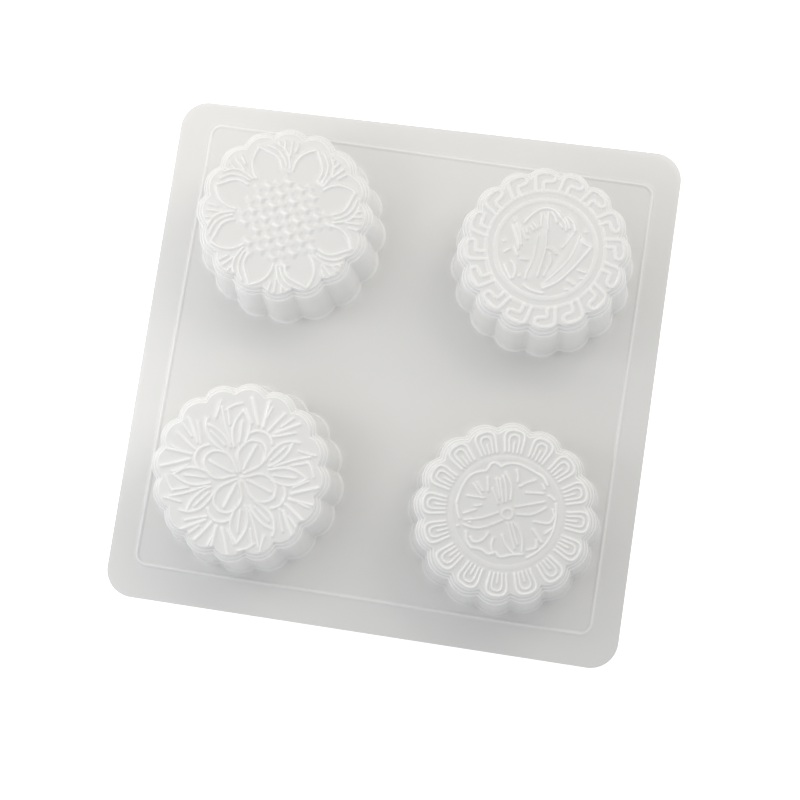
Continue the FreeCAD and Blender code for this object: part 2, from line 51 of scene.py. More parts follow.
# the cut edge: a slightly crooked rectangle with round corners
TRIM_WIDTH = 204.6
TRIM_DEPTH = 207.6
TRIM_CORNER = 11.0
LEFT_LEAN = 2.6
RIGHT_LEAN = 1.1
FRONT_RISE = 1.1
BACK_FALL = 5.5
CUT_ROUND = 0.2

# the raised bead; the deck's skin ends where the bead begins, and the border is flat past its skirt
BEAD_MIDDLE = (0.8, -0.3)
BEAD_SIDE = 180.0
BEAD_CORNER = 4.6
BEAD_RISE = 0.5
BEAD_HALF = 1.15
BEAD_SKIRT = 2.2

# the hollow under the bead: half its width at the foot and at the top, its height as a share of
# the bead's, and how its corners are rounded
HOLLOW_FOOT = 0.5
HOLLOW_TOP = 0.22
HOLLOW_RISE = 0.8
HOLLOW_FOOT_ROUND = 0.15
HOLLOW_TOP_ROUND = 0.12

# what the four cups share
CUPS_MIDDLE = (0.8, -0.1)
CUP_PITCH = 101.2
CUP_HEIGHT = 30.8
LOBES = 16
LOBE_DEPTH = 2.4
# over how wide an angle each notch between two lobes is rounded
NOTCH_SOFTNESS = 0.8

# the drawn wall is a little thinner than the sheet
WALL_SHARE = 0.85

# the steps between crown and wall, and how their outer and inner corners are rounded
STEPS = 2
STEP_TREAD = 1.2
STEP_DROP = 1.2
RISER_LEAN = 0.1
EDGE_ROUND = 0.5
STEP_ROUND = 0.42
CROWN_INSET = STEPS * STEP_TREAD
# a cup's profile starts this far inside the crown's edge
CROWN_LIP = 0.5

# the foot, which flares out onto the deck
FOOT_FLARE = 1.0
FOOT_LEDGE = 1.9
FLARE_LIFT = 0.2
FLARE_REACH = 0.8
FOOT_ROUND = 0.9
FLARE_ROUND = 0.3

# the crown's mesh is round out to this share of its radius, and takes the lobes' shape from there
ROUND_SHARE = 0.45
# the profile's own whitening takes over where less than this share of the pattern's height is left
PATTERN_SHARE = 0.98

# how finely the meshes are divided; the deck's columns meet the points of the cups' feet
OUTER_RINGS = 140
INNER_RINGS = 70
LONGEST_RUN = 6.0
CUP_ROUND_STEPS = 3
DECK_COLUMNS = 8 * OUTER_RINGS
DECK_ROWS = 7
DECK_CROWDING = 1.5
CORNER_STEPS = 16
SIDE_STEPS = 90
BEAD_ROWS = 17
BORDER_ROWS = 5
CUT_STEPS = 4
HOLLOW_ROUND_STEPS = 4

# points this close are merged, in metres
DECK_SEAM = 2e-6
BORDER_SEAM = 1e-7

# The whitening runs from 0 on the flat deck to 1 on a sharp ridge. It is partly the sheet's own
# milkiness where it is drawn over an edge or seen along its wall, and partly painted light: painted
# highlights along ridges, edges and seeds, and painted glow on the walls and feet.
Cup = namedtuple("Cup", [
    "name",
    "side",  # of the tray, along X and along Y
    "foot_radius",
    "rim_radius",
    "turn",  # of the lobes
    "pattern_middle",  # measured from the cup's middle
    "line_rise",  # height of the pattern's full lines
    "slope_rise",  # height of the hollow slopes beside the round lines
    "crown_white",  # whitening of the flat crown
    "slope_white",
    # the ridges' whitening is partly the sheet's milkiness over them and partly painted highlight
    # along them
    "middle_white",  # whitening of the ridges at the pattern's middle
    "outer_white",  # whitening of the ridges further out
    # the wall's whitening is partly its milkiness and partly painted glow of light coming through
    # it
    "wall_white",
])
CUPS = [
    Cup(name="sunflower", side=(-1, 1), foot_radius=36.9, rim_radius=34.2, turn=5.1,
        pattern_middle=(0.1, -1.6), line_rise=0.5, slope_rise=0.25, crown_white=0.02,
        slope_white=0.15, middle_white=0.75, outer_white=0.43, wall_white=0.75),
    Cup(name="key_fret", side=(1, 1), foot_radius=35.4, rim_radius=33.2, turn=8.0,
        pattern_middle=(0.4, 0.6), line_rise=0.48, slope_rise=0.2, crown_white=0.08,
        slope_white=0.15, middle_white=0.25, outer_white=0.8, wall_white=0.8),
    Cup(name="blossom", side=(-1, -1), foot_radius=36.6, rim_radius=34.2, turn=1.7,
        pattern_middle=(0.6, -1.8), line_rise=0.42, slope_rise=0.25, crown_white=0.08,
        slope_white=0.22, middle_white=0.22, outer_white=0.5, wall_white=0.65),
    Cup(name="petal_ring", side=(1, -1), foot_radius=37.0, rim_radius=34.4, turn=1.5,
        pattern_middle=(0.4, 0.1), line_rise=0.5, slope_rise=0.15, crown_white=0.0,
        slope_white=0.1, middle_white=0.22, outer_white=0.62, wall_white=0.5),
]

# whitening that the cups share, and that of the deck, bead and border: painted highlights on band
# edges, the bead and the cut edge, painted highlight and milkiness on band tops, blades and risers,
# and painted light round the feet
BAND_EDGE_HIGHLIGHT = 0.75
BAND_TOP_WHITE = 0.35
BLADE_WHITE = 0.35
RISER_MILK_AND_HIGHLIGHT = 0.8
FOOT_PAINTED_FILL = 0.16
BEAD_HIGHLIGHT = 0.35
BORDER_WHITE = 0.0
CUT_EDGE_HIGHLIGHT = 0.4
# the radius at which the ridges have reached the whitening of the outer ones
OUTER_RADIUS = 25.0
# how far the foot's painted light, which lifts the shade in the corner round the foot, reaches up
# the wall and out onto the deck
FOOT_GLOW = 3.0
# the tall wall's whitening, partly painted glow, begins this far below the lowest step
WALL_START = 0.4

# ---------------------------------------------------------------- the reliefs

# no line stands higher than this
RELIEF_LIMIT = 0.89

# a round line's half width, which is also how wide its flank is
STOUT = 0.98
SLIM = 0.85
FINE = 0.72
BROAD = 1.15
# how far the hollow slope beside a round line reaches, which dishes the petals between the lines
SLOPE_REACH = 2.6

# a flat-topped band: its half width and how wide its flank is
BROAD_BAND = 1.05
NARROW_BAND = 0.9
BAND_FLANK = 0.45

# a broad low leaf: its half width and its rise, as a share of a full line's
BLADE = 2.1
BLADE_RISE = 0.6

# the rings: radius, and rise as a share of a full line's
RING_RISE = 0.6
FAINT_RING_RISE = 0.4
KEY_OUTER_RING = 22.8
KEY_INNER_RING = 19.2
PETAL_RING = 20.5
PETAL_HUB = 2.0
PETAL_HUB_MIDDLE = (0.7, -0.4)

# the blossom's first quarter, turned this far from the cup's own turn
BLOSSOM_QUARTERS = 4
BLOSSOM_TURN = 68.3

# the sunflower's petals stand half way between the gaps, which lie at the cup's own turn
SUNFLOWER_PETALS = 8
SUNFLOWER_PITCH = 360.0 / SUNFLOWER_PETALS
PETAL_MIDDLE_RADIUS = 22.0

# the sunflower's seeds: a square lattice of large ones, with a small one between each four; they
# fill a round field and keep clear of the petals
SEED_PITCH = 5.65
SEED_ROWS = 5
SEED_TURN = -24.5
SEED_START = (0.0, 1.5)
SEED_FIELD = 19.0
SEED_CLEARANCE = 6.6
SEED_HALF = 1.9
SEED_RISE = 2.0
SMALL_SEED_HALF = 1.5
SMALL_SEED_RISE = 1.05
SEED_RIDGE = 0.6
SEED_TIP = 0.25

# Repeated parts of a pattern are drawn as (clockwise, outward) distances with outward upright.
# Petal ring: half of the arch in each lobe, half of the smaller arch inside it, and its vein.
PETAL_ARCH = [
    (-3.0, 22.8), (-3.3, 25), (-3.7, 27.2), (-3.8, 28.8), (-3.3, 30.1), (-2.1, 30.9), (0, 31.2),
]
PETAL_INNER_ARCH = [(-1.5, 22.9), (-1.7, 25), (-2, 27.2), (-1.7, 28.6), (-1, 29.2), (0, 29.4)]
PETAL_VEIN = [(0.0, 22.8), (0.0, 26.4)]

# Key fret: the hook in each lobe.
KEY_HOOK = [
    (-3.9, 22.9), (-3.9, 28.4), (-3.2, 29.6), (-1.5, 30), (0.5, 30.1), (2.6, 29.9),
    (3.8, 29), (3.9, 27.6), (3.2, 26.5), (0.3, 26.5), (-0.9, 26.2), (-0.9, 23.0),
]

# Sunflower: the round petal, the line that doubles its right side, the sepal behind it, and the
# strokes in the gap between two petals.
SUNFLOWER_PETAL = [
    (-5.0, 18.2), (-5.4, 20.8), (-5.1, 23.2), (-4.3, 25.2), (-3, 27), (-1.2, 28.6), (0, 29.5),
    (1.0, 28.3), (2.6, 26.6), (4.4, 24.8), (5.6, 22.8), (5.9, 20.6), (5.5, 18.4),
]
SUNFLOWER_DOUBLE = [(7.4, 18.6), (7.7, 21), (7.4, 23.6), (6.5, 25.8), (5, 27.6), (3.2, 29)]
SUNFLOWER_SEPAL = [(8.5, 17.4), (9.3, 20.5), (9.6, 23.2), (9, 25.6), (7.8, 27.4), (6.2, 28.8)]
SUNFLOWER_GAP = [
    [(0.9, 24.4), (1.3, 29.6)],
    [(2.9, 26), (3.7, 29)],
    [(-1.4, 26.6), (-1.5, 29.8)],
    [(-3.4, 28.2), (-3.8, 29.4)],
]

# Blossom, one quarter: outlines of the petals and of the leaf between them.
BLOSSOM_STOUT = [
    [(-0.8, 1.8), (-1.8, 3.2), (-3.6, 5), (-4.8, 7), (-5.1, 9), (-4.8, 11), (-3.9, 13),
     (-2.5, 14.5), (0.6, 15.3)],
    [(0.8, 1.8), (2.3, 3.8), (4.1, 6), (5.1, 8.4), (5, 10.8), (4.1, 13), (2.7, 14.5), (0.6, 15.3)],
    [(-4.4, 11), (-4.6, 13.8), (-5.2, 16.4), (-6.4, 19), (-8.7, 21.2), (-11.4, 22.6)],
    [(-7.6, 8.8), (-10, 11.6), (-11.5, 14.6), (-12, 17.6), (-11.8, 20.2), (-11.5, 21.8)],
    [(-8.8, 8), (-10.9, 9.6), (-14, 11), (-17.4, 11.7), (-20.4, 11.4)],
    [(-9.6, 5.4), (-13.6, 5.8), (-17.2, 6.8), (-19.6, 8.6), (-21.4, 11.2), (-21.9, 13.4)],
    [(-4.7, 16.2), (-3.4, 17.8), (-1.4, 18.9), (1, 19.1), (3.1, 18.2), (4.7, 16.4)],
]
# The leaf's veins and the short strokes beside the fan.
BLOSSOM_SLIM = [
    [(-6.6, 11.2), (-8, 15), (-9.6, 18.6)],
    [(-11, 7.4), (-14.4, 8.6), (-18, 9.6)],
    [(-9.3, 9.4), (-12.2, 12), (-15.4, 15), (-19.3, 19.8)],
    [(-13.2, 15.4), (-15.2, 18), (-16.9, 20.2)],
    [(3.6, 19.2), (6.8, 21.6), (10.2, 24.4)],
    [(4.4, 23.8), (6.9, 28.9)],
    [(-6.1, 19.8), (-8.6, 21.8), (-10.6, 23.4)],
    [(-2.0, 24.6), (-2.2, 28.6)],
    [(-13.2, 24.6), (-15.6, 22.6), (-17.2, 19.6)],
    [(-20.6, 21.2), (-19.8, 18.4), (-19.2, 15.2)],
]
# The petal's vein and the broad blades of the fan beyond its tip.
BLOSSOM_BROAD = [
    [(-0.1, 3.2), (-0.3, 8), (-0.4, 13)],
    [(3.6, 20.8), (6.4, 24), (10, 28.2)],
    [(0.9, 20.3), (1.9, 24.6), (3.2, 28.8)],
    [(-1.5, 20.7), (-2.6, 25), (-4.1, 30)],
    [(-3.7, 20.4), (-7.2, 24.2), (-10.6, 28.2)],
]

# What follows is drawn as it lies, from the pattern's middle: the knob at the blossom's hub, the
# sprays inside the two rings, and the broad low leaves under the key fret's spray.
BLOSSOM_HUB = [(1.1, -0.1), (1.4, -0.2)]
PETAL_RING_SPRAY = [
    [(-18.7, 0.8), (-18.3, 4.2), (-17.2, 8.4), (-15.5, 11.7), (-12.6, 13.6), (-9.6, 14.4)],
    [(-9.6, 14.4), (-8.8, 15.5), (-8.4, 17.2), (-6.7, 18.1), (-5.2, 17.4), (-4.2, 16.8)],
    [(-4.2, 16.8), (-2.5, 18.1), (0, 18.8), (2.6, 18.7), (5.1, 18), (7.6, 17), (10.1, 16.1),
     (12.2, 15), (13.9, 12.6)],
    [(-18.5, 0), (-17.8, -2.6), (-16.8, -4.7)],
    [(-13.6, -9.3), (-13, -12.7), (-10.9, -14.8)],
    [(-10.5, -14.8), (-6.7, -14.8), (-4.2, -16.7), (-1.6, -14.8), (0, -17.1), (4.3, -15.2),
     (8.5, -14.4)],
    [(18.1, 6.1), (18.8, 1.6), (18.7, -3.4), (17.1, -8.4), (14, -12.6), (10.4, -15.4)],
    [(-2.1, 14.7), (0.9, 10.5), (1.1, 5)],
    [(-2.9, 13.4), (-1.2, 9.6), (-0.4, 4.2)],
    [(-4, 12.2), (-1.6, 3.7)],
    [(-5.4, 12), (-2.9, 5)],
    [(-6.3, 8), (-3.3, 2.9)],
    [(-8.6, 12), (-7.7, 7.1)],
    [(-12.2, 9.6), (-9.8, 6.7)],
    [(-13.4, 8.8), (-10, 5)],
    [(-15.1, 4.2), (-8.8, 4.2)],
    [(-11.7, 0.8), (-9.6, 1.4)],
    [(-15.5, -2.6), (-11.3, -0.5)],
    [(-14.7, -4.9), (-8.4, -3.4), (-2.9, -0.5)],
    [(-14.7, -6.8), (-11.3, -7.6), (-7.1, -6.8), (-0.8, -3)],
    [(-12.8, -5.6), (-12.6, -5.6)],
    [(-17.1, -7.5), (-16.9, -7.5)],
    [(3.4, 2.7), (8.5, 4.4), (13.5, 6.1)],
    [(4.3, 0), (9.3, 0.4), (12.7, 2.5), (14.4, 4)],
    [(6.4, 8.6), (12.7, 9.2)],
    [(3.8, 10.5), (5.9, 12.2), (9.3, 13.8)],
    [(1.7, 16.4), (2.6, 14.3), (2.8, 12.2)],
    [(12.2, 12.4), (13.1, 10.9)],
    [(15, 8.8), (17.4, 7.4)],
    [(11, -1.7), (16.9, -1.9), (17.9, 0.8)],
    [(11, -4.7), (14.8, -8.9)],
    [(12.9, -8.5), (13.5, -11.4), (10.1, -12.5)],
    [(17.7, -3.4), (15.6, -5.5)],
    [(17.1, 3.7), (18.2, 1.5)],
    [(1.3, -3.8), (5.1, -12.7)],
    [(2.6, -3.4), (6, -11)],
    [(4.3, -3.8), (7.6, -8), (8, -13.5)],
    [(0, -8.5), (1.7, -12.2), (5.1, -14.8)],
    [(-5.2, -8.5), (-7.1, -11.8), (-10.5, -12.9), (-11.7, -11)],
    [(-3.1, -10.1), (-3.7, -12.7), (-2.5, -16)],
]
KEY_FRET_SPRAY = [
    [(-9.4, 9.3), (-7.5, 12.1), (-5.4, 14.5), (-2.8, 16), (0.5, 16), (3.1, 14.5), (4.2, 12.8)],
    [(-0.9, 14.2), (-0.8, 11.1), (-0.2, 7.7)],
    [(-3.3, 13.2), (-3.3, 11.3), (-3, 8.7)],
    [(0.4, 14.6), (1.9, 12.9), (2.8, 11.1)],
    [(1.8, 15.2), (3.7, 13.2)],
    [(5.6, 13.2), (7.3, 11.3), (7.8, 9.4)],
    [(6.7, 13.7), (9.2, 11.9), (10.2, 8.8)],
    [(5, 12.3), (6.4, 10.6), (6.6, 8.4)],
    [(4.3, 10.3), (5.2, 9.3)],
    [(-13.2, 9.5), (-13.1, 9.2)],
    [(-13.7, 7.5), (-12.1, 4.4), (-10.7, 0.9), (-10.3, -1.2)],
    [(-12.2, 8.3), (-10.4, 4.7), (-9.4, 0.6)],
    [(-6, 9.6), (-4.4, 7.7)],
    [(-6.9, 8.3), (-5.5, 6.7)],
    [(-8.4, 6.9), (-7.7, 5.5)],
    [(-9.6, 6.2), (-8.7, 3.9), (-7.7, 3)],
    [(-3.6, 4.5), (-3.8, -0.6), (-4.3, -5.8), (-5.8, -9.8), (-6, -12.2)],
    [(-0.5, 6.9), (0.1, 0.9), (-0.5, -4.8), (-1.6, -10.7)],
    [(0.7, 0.6), (2.6, 0.2), (4.3, -1.2)],
    [(2.2, -1.7), (2.9, -4.4), (1.8, -7.4), (0.8, -10.3)],
    [(9.6, 7.7), (8, 4.1), (6.2, 1.5)],
    [(12.1, 6.7), (11.1, 1.4), (9, -3.6), (5.4, -8.3), (2.2, -12)],
    [(16.6, 2.5), (14, -1.9), (10.5, -7.1), (5.9, -12.5), (1.2, -15.1)],
    [(13.4, 4.6), (15.3, 3.9), (17.1, 3.2)],
    [(14.1, 8.9), (14.3, 8.8)],
    [(10, -10.7), (12.8, -12)],
    [(13.4, -6.3), (16.3, -6.8)],
    [(14.7, -9.3), (15.1, -9.3)],
    [(9.8, -14.3), (10.8, -14.1)],
    [(-12, -6.4), (-10.5, -8.1), (-10.1, -10.4), (-10.7, -12.8)],
    [(-14.6, -8.2), (-12.9, -11.2), (-11.6, -13.2)],
    [(-8.6, -11.6), (-8.4, -11.7)],
    [(-11.9, -0.7), (-10.2, -3.8)],
    [(-8.9, -5), (-6.3, -5)],
    [(-6.2, -15), (-3.1, -16.6), (1.2, -17)],
    [(-13.6, -1.7), (-15.3, -3.1)],
    [(-16.3, 1), (-16.1, 0.9)],
]
KEY_FRET_BLADES = [
    [(-1.4, 12), (-1.6, 5), (-1.8, -1), (-3, -7), (-4.4, -11.5)],
    [(12.7, 5), (12, 0.5), (9.8, -4.8), (6.2, -10.2), (1.4, -14.2)],
    [(8.9, 6), (8.2, 0.5), (5.6, -5.6), (2.4, -10)],
    [(-12, 7), (-10.8, 3), (-10.4, 0.6)],
]

# ---------------------------------------------------------------- camera, lamps and finishes

CAMERA_PLACE = (0.05168, -0.09881, 0.678)
CAMERA_TURN = (7.941, 2.819, 9.039)
CAMERA_LENS = 77.82

NEUTRAL = (1.0, 1.0, 1.0)
WARM = (1.0, 0.95, 0.87)
COOL = (0.94, 0.97, 1.0)

# each lamp's name, place, the point that it faces, width, depth, watts and colour
LAMPS = [
    ("left_strip", (-0.26, 0.0, 0.18), (-0.10, 0.0, 0.0), 0.08, 0.30, 0.195, NEUTRAL),
    ("back_strip", (0.0, 0.24, 0.34), (0.0, 0.12, 0.0), 0.34, 0.10, 0.17, WARM),
    ("corner_softbox", (-0.20, 0.20, 0.20), (-0.12, 0.12, 0.0), 0.14, 0.14, 0.11, WARM),
    ("front_softbox", (-0.20, -0.16, 0.30), (-0.10, -0.08, 0.0), 0.16, 0.16, 0.10, COOL),
    ("right_softbox", (0.32, 0.36, 0.48), (0.02, 0.02, 0.0), 0.35, 0.35, 0.98, WARM),
]
FILL_COLOUR = (0.975, 0.985, 1.0, 1.0)
FILL_STRENGTH = 0.75
BACKDROP_COLOUR = (1.0, 1.0, 1.0, 1.0)
TABLE_COLOUR = (0.86, 0.86, 0.86, 1.0)
TABLE_SIZE = 6.0
# what the camera sees on top of the table's own shade, so that its open part is white
TABLE_LIFT = 0.55

# colour of the flat deck, colour of its whitest places (the painted highlights and glow, and the
# milkiest sheet), and how far the clouds whiten the deck
DECK_COLOUR = (0.613, 0.61, 0.6, 1.0)
WHITE_COLOUR = (0.87, 0.869, 0.862, 1.0)
CLOUD_WHITE = 0.06
PLASTIC_IOR = 1.49
# roughness where the satin patches are weakest and strongest
GLOSSY = 0.2
SATIN = 0.28
RIPPLE_STRENGTH = 0.1
RIPPLE_DEPTH = 0.00004
# the sheet's unevenness: name, scale and detail of each pattern
CLOUD_LAYERS = [("Cloud", 38.0, 3.0), ("Satin", 130.0, 2.0), ("Ripple", 420.0, 2.0)]


def add_camera():
    data = bpy.data.cameras.new("camera")
    data.lens = CAMERA_LENS
    data.sensor_width = 36.0
    data.clip_start = 0.01
    camera = bpy.data.objects.new("camera", data)
    camera.location = CAMERA_PLACE
    camera.rotation_euler = Euler([math.radians(turn) for turn in CAMERA_TURN], "XYZ")
    bpy.context.scene.collection.objects.link(camera)
    bpy.context.scene.camera = camera


def add_lamp(name, place, aim, width, depth, power, tint):
    data = bpy.data.lights.new(name, "AREA")
    data.shape = "RECTANGLE"
    data.size = width
    data.size_y = depth
    data.energy = power
    data.color = tint
    lamp = bpy.data.objects.new(name, data)
    lamp.location = place
    lamp.rotation_euler = (Vector(aim) - Vector(place)).to_track_quat("-Z", "Y").to_euler()
    bpy.context.scene.collection.objects.link(lamp)


def empty_tree(owner):
    """The node tree of a new material or world, with nothing in it."""
    owner.use_nodes = True
    owner.node_tree.nodes.clear()
    return owner.node_tree


def add_node(tree, kind, values=None):
    """Adds a node and sets the inputs that are given by name or number."""
    node = tree.nodes.new(kind)
    for key, value in (values or {}).items():
        node.inputs[key].default_value = value
    return node


def light_studio():
    """Soft lamps and a dim sky, which the camera sees as plain white."""
    scene = bpy.context.scene
    scene.view_settings.view_transform = "Standard"
    for lamp in LAMPS:
        add_lamp(*lamp)
    world = bpy.data.worlds.new("studio")
    tree = empty_tree(world)
    link = tree.links.new
    out = add_node(tree, "ShaderNodeOutputWorld")
    fill = add_node(tree, "ShaderNodeBackground", {"Color": FILL_COLOUR, "Strength": FILL_STRENGTH})
    white = add_node(tree, "ShaderNodeBackground", {"Color": BACKDROP_COLOUR, "Strength": 1.0})
    path = add_node(tree, "ShaderNodeLightPath")
    mix = add_node(tree, "ShaderNodeMixShader")
    link(path.outputs["Is Camera Ray"], mix.inputs["Fac"])
    link(fill.outputs["Background"], mix.inputs[1])
    link(white.outputs["Background"], mix.inputs[2])
    link(mix.outputs["Shader"], out.inputs["Surface"])
    scene.world = world


def white_table():
    """A matt white table whose open part shows as white, and which still takes a shadow."""
    material = bpy.data.materials.new("white_table")
    tree = empty_tree(material)
    link = tree.links.new
    out = add_node(tree, "ShaderNodeOutputMaterial")
    matt = add_node(tree, "ShaderNodeBsdfDiffuse", {"Color": TABLE_COLOUR})
    glow = add_node(tree, "ShaderNodeEmission", {"Color": BACKDROP_COLOUR})
    path = add_node(tree, "ShaderNodeLightPath")
    lift = add_node(tree, "ShaderNodeMath", {1: TABLE_LIFT})
    lift.operation = "MULTIPLY"
    add = add_node(tree, "ShaderNodeAddShader")
    link(path.outputs["Is Camera Ray"], lift.inputs[0])
    link(lift.outputs["Value"], glow.inputs["Strength"])
    link(matt.outputs["BSDF"], add.inputs[0])
    link(glow.outputs["Emission"], add.inputs[1])
    link(add.outputs["Shader"], out.inputs["Surface"])
    return material


def lay_floor():
    bpy.ops.object.select_all(action="DESELECT")
    bpy.ops.mesh.primitive_plane_add(size=TABLE_SIZE, location=(0.0, 0.0, 0.0))
    floor = bpy.context.object
    floor.name = "table"
    floor.data.materials.append(white_table())


def cloud_group():
    """Faint unevenness of the sheet: a slow cloudiness, a satin patchiness and a fine ripple."""
    group = bpy.data.node_groups.new("sheet_clouds", "ShaderNodeTree")
    for name, _, _ in CLOUD_LAYERS:
        group.interface.new_socket(name, in_out="OUTPUT", socket_type="NodeSocketFloat")
    out = add_node(group, "NodeGroupOutput")
    place = add_node(group, "ShaderNodeTexCoord")
    for name, scale, detail in CLOUD_LAYERS:
        noise = add_node(group, "ShaderNodeTexNoise", {"Scale": scale, "Detail": detail})
        group.links.new(place.outputs["Object"], noise.inputs["Vector"])
        group.links.new(noise.outputs["Fac"], out.inputs[name])
    return group


def make_plastic():
    """Milky sheet: softly glossy, faintly cloudy, and whiter where it is drawn over an edge and
    where painted highlights and glow are laid on.
    """
    material = bpy.data.materials.new("milky_sheet")
    tree = empty_tree(material)
    link = tree.links.new
    out = add_node(tree, "ShaderNodeOutputMaterial")
    plastic = add_node(tree, "ShaderNodeBsdfPrincipled", {"IOR": PLASTIC_IOR})
    clouds = add_node(tree, "ShaderNodeGroup")
    clouds.node_tree = cloud_group()

    def scaled(name, low, high):
        spread = add_node(tree, "ShaderNodeMapRange", {"To Min": low, "To Max": high})
        spread.clamp = False
        link(clouds.outputs[name], spread.inputs["Value"])
        return spread.outputs["Result"]

    # the whitening carries painted highlights and painted glow as well as the sheet's own milkiness
    whitening = add_node(tree, "ShaderNodeAttribute")
    whitening.attribute_name = "whitening"
    share = add_node(tree, "ShaderNodeMath")
    share.operation = "ADD"
    share.use_clamp = True
    link(whitening.outputs["Fac"], share.inputs[0])
    link(scaled("Cloud", 0.0, CLOUD_WHITE), share.inputs[1])
    ramp = add_node(tree, "ShaderNodeMix")
    ramp.data_type = "RGBA"
    ramp.inputs["A"].default_value = DECK_COLOUR
    ramp.inputs["B"].default_value = WHITE_COLOUR
    link(share.outputs["Value"], ramp.inputs["Factor"])
    link(ramp.outputs["Result"], plastic.inputs["Base Color"])
    link(scaled("Satin", GLOSSY, SATIN), plastic.inputs["Roughness"])
    ripple = add_node(
        tree, "ShaderNodeBump", {"Strength": RIPPLE_STRENGTH, "Distance": RIPPLE_DEPTH})
    link(clouds.outputs["Ripple"], ripple.inputs["Height"])
    link(ripple.outputs["Normal"], plastic.inputs["Normal"])
    link(plastic.outputs["BSDF"], out.inputs["Surface"])
    return material


# ---------------------------------------------------------------- outlines and profiles

def lobed_radius(angle, peak):
    """Radius of a ring of round lobes, with the notches between them softly rounded."""
    half = math.pi / LOBES
    notch = peak - LOBE_DEPTH
    mouth = notch * math.cos(half)
    half_chord = notch * math.sin(half)
    rise = peak - mouth
    lobe = (half_chord ** 2 + rise ** 2) / (2 * rise)
    middle = peak - lobe
    phase = np.abs((angle + half) % (2 * half) - half)
    phase = half - np.sqrt((half - phase) ** 2 + math.radians(NOTCH_SOFTNESS) ** 2)
    return middle * np.cos(phase) + np.sqrt(lobe ** 2 - (middle * np.sin(phase)) ** 2)


def round_corner(before, corner, after, radius, steps):
    """Points of the arc that rounds a corner, from the first side's end to the next one's start."""
    into = (before - corner) / np.linalg.norm(before - corner)
    away = (after - corner) / np.linalg.norm(after - corner)
    half_angle = math.acos(np.clip(into @ away, -1, 1)) / 2
    reach = radius / math.tan(half_angle)
    centre = corner + (into + away) / np.linalg.norm(into + away) * radius / math.sin(half_angle)
    first = corner + into * reach - centre
    last = corner + away * reach - centre
    sweep = math.acos(np.clip(first @ last / radius ** 2, -1, 1))
    shares = np.arange(steps + 1)[:, None] / steps
    arc = np.sin((1 - shares) * sweep) * first + np.sin(shares * sweep) * last
    return centre + arc / math.sin(sweep)


def rounded_profile(corners, steps):
    """Points along a profile of (inset, level, radius) corners; one of radius 0 stays as it is."""
    places = [np.array(corner[:2], dtype=float) for corner in corners]
    runs = []
    for index, place in enumerate(places):
        radius = corners[index][2]
        if radius == 0:
            runs.append(place[None])
        else:
            before, after = places[index - 1], places[index + 1]
            runs.append(round_corner(before, place, after, radius, steps))
    return np.concatenate(runs)


def rounded_outline(corners, radius, inset):
    """A closed outline with round corners, moved inwards by the inset; it runs anticlockwise."""
    corners = np.array(corners, dtype=float)
    ways = np.roll(corners, -1, axis=0) - corners
    ways /= np.linalg.norm(ways, axis=1)[:, None]
    inward = np.stack([-ways[:, 1], ways[:, 0]], axis=1)
    moved = []
    for index, corner in enumerate(corners):
        turn_in = inward[index] + inward[index - 1]
        moved.append(corner + turn_in * inset / (1 + inward[index] @ inward[index - 1]))
    arcs = []
    for index, corner in enumerate(moved):
        after = moved[(index + 1) % len(moved)]
        arcs.append(round_corner(moved[index - 1], corner, after, radius - inset, CORNER_STEPS))
    outline = []
    shares = np.arange(1, SIDE_STEPS)[:, None] / SIDE_STEPS
    for index, arc in enumerate(arcs):
        outline.append(arc)
        start = arc[-1]
        end = arcs[(index + 1) % len(arcs)][0]
        outline.append(start + (end - start) * shares)
    outline = np.concatenate(outline)
    return np.concatenate([outline, outline[:1]])


def subdivide(points):
    """Adds points to a profile's straight runs, so that none is longer than LONGEST_RUN."""
    result = [points[0]]
    for start, end in zip(points[:-1], points[1:]):
        pieces = max(1, math.ceil(np.linalg.norm(end - start) / LONGEST_RUN))
        for piece in range(1, pieces + 1):
            result.append(start + (end - start) * piece / pieces)
    return np.array(result)


# ---------------------------------------------------------------- meshes

def read_points(mesh):
    flat = np.empty(len(mesh.vertices) * 3)
    mesh.vertices.foreach_get("co", flat)
    return flat.reshape(-1, 3)


def write_points(mesh, points):
    """Places a mesh's points, given in millimetres."""
    mesh.vertices.foreach_set("co", (points * MM).ravel())
    mesh.update()


def write_whitening(mesh, values):
    layer = mesh.attributes.new("whitening", "FLOAT", "POINT")
    layer.data.foreach_set("value", values.astype(np.float32))


def add_grid(columns, rows):
    """Adds a flat grid from -1 to 1 along X and Y, to the mesh in edit mode if there is one."""
    bpy.ops.mesh.primitive_grid_add(x_subdivisions=columns, y_subdivisions=rows, size=2.0)


def new_piece(name, columns, rows):
    """A piece that is a flat grid so far."""
    bpy.ops.object.select_all(action="DESELECT")
    add_grid(columns, rows)
    piece = bpy.context.object
    piece.name = name
    piece.data.name = name
    return piece


def grid_numbers(piece, columns, rows):
    """The column and row number of each point of a new piece's grid."""
    square = read_points(piece.data)
    column = np.round((square[:, 0] + 1) / 2 * columns).astype(int)
    row = np.round((square[:, 1] + 1) / 2 * rows).astype(int)
    return column, row


def join_seams(distance):
    """Merges the active piece's points that coincide, and turns its faces outwards."""
    bpy.ops.object.mode_set(mode="EDIT")
    bpy.ops.mesh.select_all(action="SELECT")
    bpy.ops.mesh.remove_doubles(threshold=distance)
    bpy.ops.mesh.normals_make_consistent(inside=False)
    bpy.ops.object.mode_set(mode="OBJECT")


